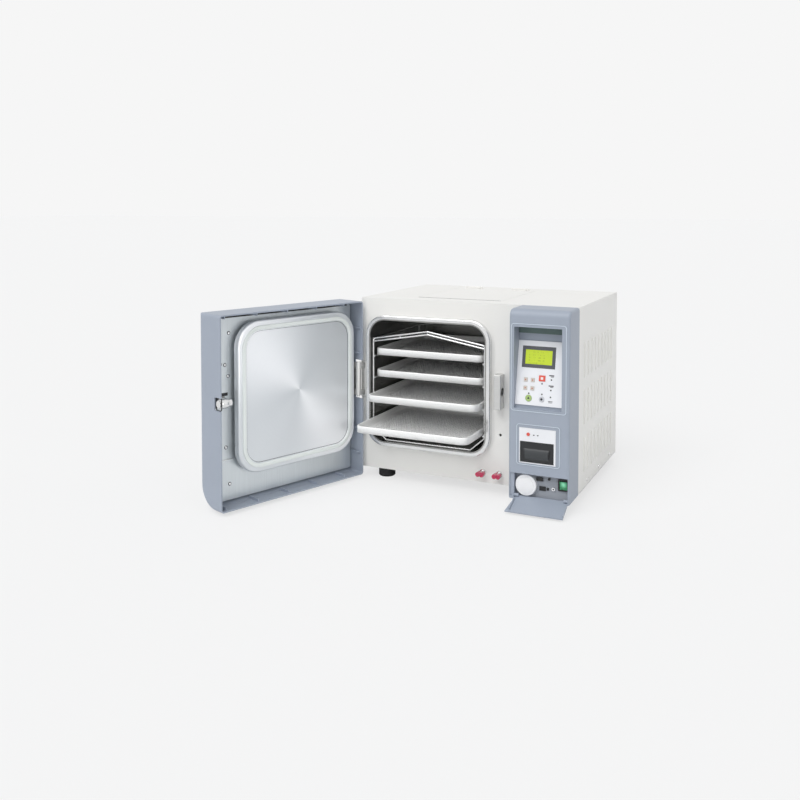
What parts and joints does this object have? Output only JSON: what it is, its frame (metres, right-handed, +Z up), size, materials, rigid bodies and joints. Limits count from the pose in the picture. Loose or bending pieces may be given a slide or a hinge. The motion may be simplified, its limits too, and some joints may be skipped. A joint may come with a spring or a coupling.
{
  "type": "bench autoclave",
  "caption": "Bench steam autoclave with a side-hinged door and square lid, round-cornered chamber, wire rack with pull-out trays, control tower with display, panel printer and service bay.",
  "frame": {"origin": "centre of the front left foot's sole", "axes": "+X to the right of someone facing the door opening, +Y towards the back, +Z up"},
  "size_m": [0.7397, 0.8081, 0.4392],
  "materials": {
    "case_paint": "fine satin powder coat",
    "steel": "brushed",
    "polished": "polished",
    "rubber": "matt",
    "seal": "matt grey silicone",
    "shell_plastic": "fine satin",
    "plate_steel": "fine brushed",
    "aluminium": "satin",
    "face_plastic": "fine satin",
    "dark_plastic": "satin",
    "glass": "glossy",
    "black_plastic": "satin",
    "key_grey": "satin",
    "key_red": "satin",
    "key_green": "satin",
    "crimson": "glossy",
    "rocker_green": "glossy",
    "filter_white": "matt",
    "paper": "matt",
    "insulation": "matt felt",
    "tank_plastic": "satin",
    "board": "satin",
    "cast": "cast"
  },
  "bodies": {
    "cabinet": {"base_pan": "steel", "front_panel": "case_paint", "outer_cover": "case_paint", "rear_panel": "case_paint", "rubber_feet": "rubber", "case_screws": "polished", "chamber": "polished", "chamber_flange": "polished", "heater_bands": "steel", "insulation_jacket": "insulation", "water_tank": "tank_plastic", "pump_set": "cast", "condenser": "aluminium", "fan_frame": "black_plastic", "control_board": "board", "power_supply": "steel", "safety_valve": "polished", "rear_fittings": "black_plastic", "hinge_bracket": "steel", "hinge_pin": "steel", "latch_keeper": "steel", "drain_bodies": "polished", "tower_bezel": "shell_plastic", "faceplate": "face_plastic", "display_frame": "dark_plastic", "display_glass": "glass", "status_lamps": "black_plastic", "printer_body": "face_plastic", "service_plate": "shell_plastic", "air_filter": "filter_white", "service_ports": "black_plastic"},
    "door": {"door_shell": "shell_plastic", "door_plate": "plate_steel", "door_beam": "steel", "lid_plate": "plate_steel", "lid_gasket": "seal", "lid_spindle": "steel"},
    "handle": {"door_handle": "shell_plastic"},
    "latch": {"latch_bolt": "polished"},
    "rack": {"tray_rack": "polished"},
    "tray_1": {"tray_1": "aluminium"},
    "tray_2": {"tray_2": "aluminium"},
    "tray_3": {"tray_3": "aluminium"},
    "tray_4": {"tray_4": "aluminium"},
    "tank_lid": {"tank_lid": "case_paint"},
    "service_flap": {"service_flap": "shell_plastic"},
    "printer_cover": {"printer_cover": "black_plastic"},
    "feed_key": {"feed_key": "key_red"},
    "paper_roll": {"paper_roll": "paper"},
    "fan_rotor": {"fan_rotor": "black_plastic"},
    "power_rocker": {"power_rocker": "rocker_green"},
    "drain_knob_left": {"drain_knob_left": "crimson"},
    "drain_knob_right": {"drain_knob_right": "crimson"},
    "key_up": {"key_up": "key_grey"},
    "key_down": {"key_down": "key_grey"},
    "key_left": {"key_left": "key_grey"},
    "key_right": {"key_right": "key_grey"},
    "start_key": {"start_key": "key_green"},
    "drain_key": {"drain_key": "key_grey"},
    "stop_key": {"stop_key": "key_red"}
  },
  "joints": [
    {"name": "door_swing", "type": "hinge", "parent": "cabinet", "child": "door", "pos_m": [-0.055, -0.046, 0.238], "axis": [0, 0, -1], "range_deg": [-110, 15]},
    {"name": "handle_turn", "type": "hinge", "parent": "door", "child": "handle", "pos_m": [-0.2375, -0.35736, 0.238], "axis": [0.9397, -0.342, 0], "range_deg": [0, 90]},
    {"name": "bolt_slide", "type": "slide", "parent": "door", "child": "latch", "axis": [0.342, 0.9397, 0], "range_m": [0, 0.013]},
    {"name": "rack_slide", "type": "slide", "parent": "cabinet", "child": "rack", "axis": [0, -1, 0], "range_m": [0, 0.25]},
    {"name": "tank_lid_hinge", "type": "hinge", "parent": "cabinet", "child": "tank_lid", "pos_m": [0.1755, 0.301, 0.437], "axis": [-1, 0, 0], "range_deg": [0, 100]},
    {"name": "flap_hinge", "type": "hinge", "parent": "cabinet", "child": "service_flap", "pos_m": [0.416, -0.105, 0.031], "axis": [1, 0, 0], "range_deg": [-115, 0]},
    {"name": "printer_cover_hinge", "type": "hinge", "parent": "cabinet", "child": "printer_cover", "pos_m": [0.408, -0.1094, 0.109], "axis": [1, 0, 0], "range_deg": [0, 90]},
    {"name": "feed_key_press", "type": "slide", "parent": "cabinet", "child": "feed_key", "axis": [0, 1, 0], "range_m": [0, 0.0006], "stiffness_N_per_m": 400},
    {"name": "paper_roll_turn", "type": "hinge", "parent": "cabinet", "child": "paper_roll", "pos_m": [0.408, -0.0846, 0.1289], "axis": [1, 0, 0], "continuous": true},
    {"name": "fan_spin", "type": "hinge", "parent": "cabinet", "child": "fan_rotor", "pos_m": [0.388, 0.338, 0.25], "axis": [0, 1, 0], "continuous": true},
    {"name": "power_rocker_tilt", "type": "hinge", "parent": "cabinet", "child": "power_rocker", "pos_m": [0.462, -0.092, 0.0607], "axis": [-1, 0, 0], "range_deg": [0, 16]},
    {"name": "tray_1_slide", "type": "slide", "parent": "rack", "child": "tray_1", "axis": [0, -1, 0], "range_m": [0, 0.25]},
    {"name": "tray_2_slide", "type": "slide", "parent": "rack", "child": "tray_2", "axis": [0, -1, 0], "range_m": [0, 0.25]},
    {"name": "tray_3_slide", "type": "slide", "parent": "rack", "child": "tray_3", "axis": [0, -1, 0], "range_m": [-0.0441, 0.0062]},
    {"name": "tray_4_slide", "type": "slide", "parent": "rack", "child": "tray_4", "axis": [0, -1, 0], "range_m": [-0.1031, 0.0142]},
    {"name": "drain_knob_left_turn", "type": "hinge", "parent": "cabinet", "child": "drain_knob_left", "pos_m": [0.259, -0.052, 0.048], "axis": [0, 1, 0], "range_deg": [0, 90]},
    {"name": "drain_knob_right_turn", "type": "hinge", "parent": "cabinet", "child": "drain_knob_right", "pos_m": [0.298, -0.052, 0.048], "axis": [0, 1, 0], "range_deg": [0, 90]},
    {"name": "key_up_press", "type": "slide", "parent": "cabinet", "child": "key_up", "axis": [0, 0.9806, -0.1961], "range_m": [0, 0.0006], "stiffness_N_per_m": 400},
    {"name": "key_down_press", "type": "slide", "parent": "cabinet", "child": "key_down", "axis": [0, 0.9806, -0.1961], "range_m": [0, 0.0006], "stiffness_N_per_m": 400},
    {"name": "key_left_press", "type": "slide", "parent": "cabinet", "child": "key_left", "axis": [0, 0.9806, -0.1961], "range_m": [0, 0.0006], "stiffness_N_per_m": 400},
    {"name": "key_right_press", "type": "slide", "parent": "cabinet", "child": "key_right", "axis": [0, 0.9806, -0.1961], "range_m": [0, 0.0006], "stiffness_N_per_m": 400},
    {"name": "start_key_press", "type": "slide", "parent": "cabinet", "child": "start_key", "axis": [0, 0.9806, -0.1961], "range_m": [0, 0.0006], "stiffness_N_per_m": 400},
    {"name": "drain_key_press", "type": "slide", "parent": "cabinet", "child": "drain_key", "axis": [0, 0.9806, -0.1961], "range_m": [0, 0.0006], "stiffness_N_per_m": 400},
    {"name": "stop_key_press", "type": "slide", "parent": "cabinet", "child": "stop_key", "axis": [0, 0.9806, -0.1961], "range_m": [0, 0.0006], "stiffness_N_per_m": 400}
  ],
  "couplings": [
    {"joint": "bolt_slide", "follows": "handle_turn", "m_per_rad": 0.008276},
    {"joint": "tray_3_slide", "follows": "door_swing", "m_per_rad": 0.022918},
    {"joint": "tray_4_slide", "follows": "door_swing", "m_per_rad": 0.05365}
  ]
}
